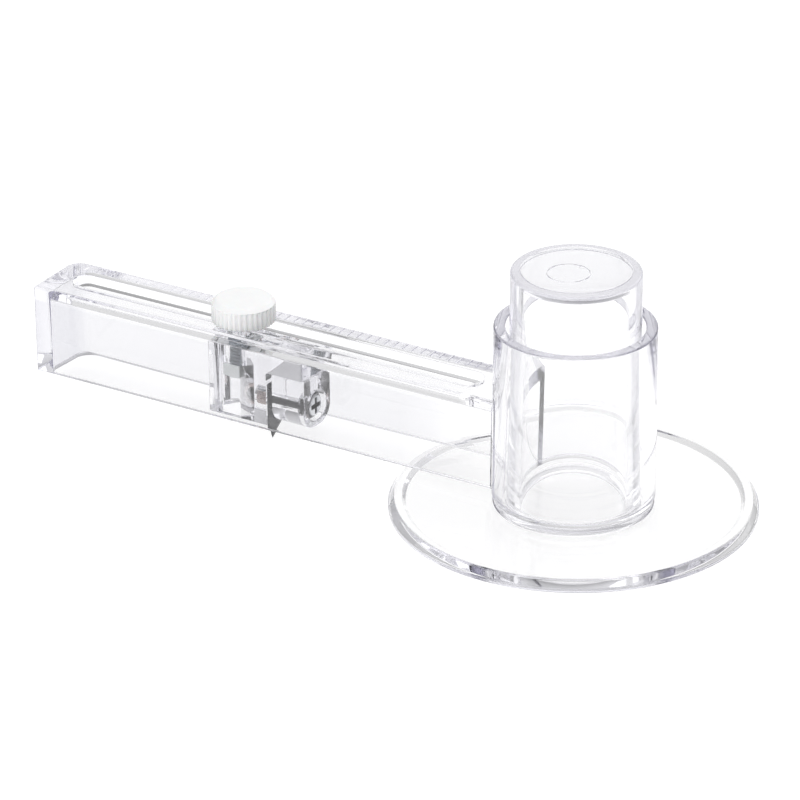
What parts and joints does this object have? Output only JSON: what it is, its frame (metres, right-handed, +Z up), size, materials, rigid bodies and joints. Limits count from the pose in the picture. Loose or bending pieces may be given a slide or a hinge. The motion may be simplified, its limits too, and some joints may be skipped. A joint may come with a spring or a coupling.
{
  "type": "circle cutter",
  "caption": "Compass-type circle cutter: round base with a hand post, a slotted arm turning on it, and a sliding blade carriage clamped by a ribbed knob.",
  "frame": {"origin": "on the axis of the hand post, at the base's underside, on the surface that the base stands on", "axes": "+Z up along the post; the arm points along -X at rest, so X is the longest extent; the rounded side of the arm's end is at +Y"},
  "size_m": [0.1874, 0.086, 0.0596],
  "materials": {
    "clear_base": "clear moulded plastic, glossy",
    "clear_cap": "clear moulded plastic, glossy",
    "clear_arm": "clear moulded plastic, glossy",
    "clear_carriage": "clear moulded plastic, glossy",
    "clear_clamp": "clear moulded plastic, glossy",
    "white_knob": "white moulded plastic, satin",
    "bolt_steel": "zinc-plated steel, satin",
    "washer_steel": "plain steel, satin",
    "blade_steel": "ground blade steel",
    "screw_chrome": "bright plated steel",
    "brass_insert": "turned brass"
  },
  "bodies": {
    "base": {"base": "clear_base", "post_cap": "clear_cap"},
    "arm": {"swing_arm": "clear_arm"},
    "carriage": {"carriage": "clear_carriage", "blade_screw_insert": "brass_insert", "clamp_bolt": "bolt_steel"},
    "washer": {"knob_washer": "washer_steel"},
    "knob": {"knob": "white_knob", "knob_insert": "brass_insert"},
    "blade": {"blade": "blade_steel"},
    "blade_clamp": {"blade_clamp": "clear_clamp"},
    "clamp_screw": {"clamp_screw": "screw_chrome"}
  },
  "joints": [
    {"name": "arm_swing", "type": "hinge", "parent": "base", "child": "arm", "pos_m": [0, 0, 0], "axis": [0, 0, 1], "continuous": true},
    {"name": "carriage_slide", "type": "slide", "parent": "arm", "child": "carriage", "axis": [1, 0, 0], "range_m": [-0.0447, 0.0347]},
    {"name": "knob_lift", "type": "slide", "parent": "carriage", "child": "washer", "axis": [0, 0, 1], "range_m": [0, 0.0012]},
    {"name": "knob_turn", "type": "hinge", "parent": "washer", "child": "knob", "pos_m": [-0.0896, 0, 0.0265], "axis": [0, 0, 1], "range_deg": [0, 540.01]},
    {"name": "blade_slide", "type": "slide", "parent": "carriage", "child": "blade", "axis": [0, 0, 1], "range_m": [-0.003, 0.0025]},
    {"name": "clamp_release", "type": "slide", "parent": "carriage", "child": "blade_clamp", "axis": [1, 0, 0], "range_m": [0, 0.001]},
    {"name": "screw_turn", "type": "hinge", "parent": "blade_clamp", "child": "clamp_screw", "pos_m": [-0.069, 0, 0.0094], "axis": [1, 0, 0], "range_deg": [0, 720.01]}
  ],
  "couplings": [
    {"joint": "knob_turn", "follows": "knob_lift", "rad_per_m": 7854},
    {"joint": "screw_turn", "follows": "clamp_release", "rad_per_m": 12566}
  ]
}
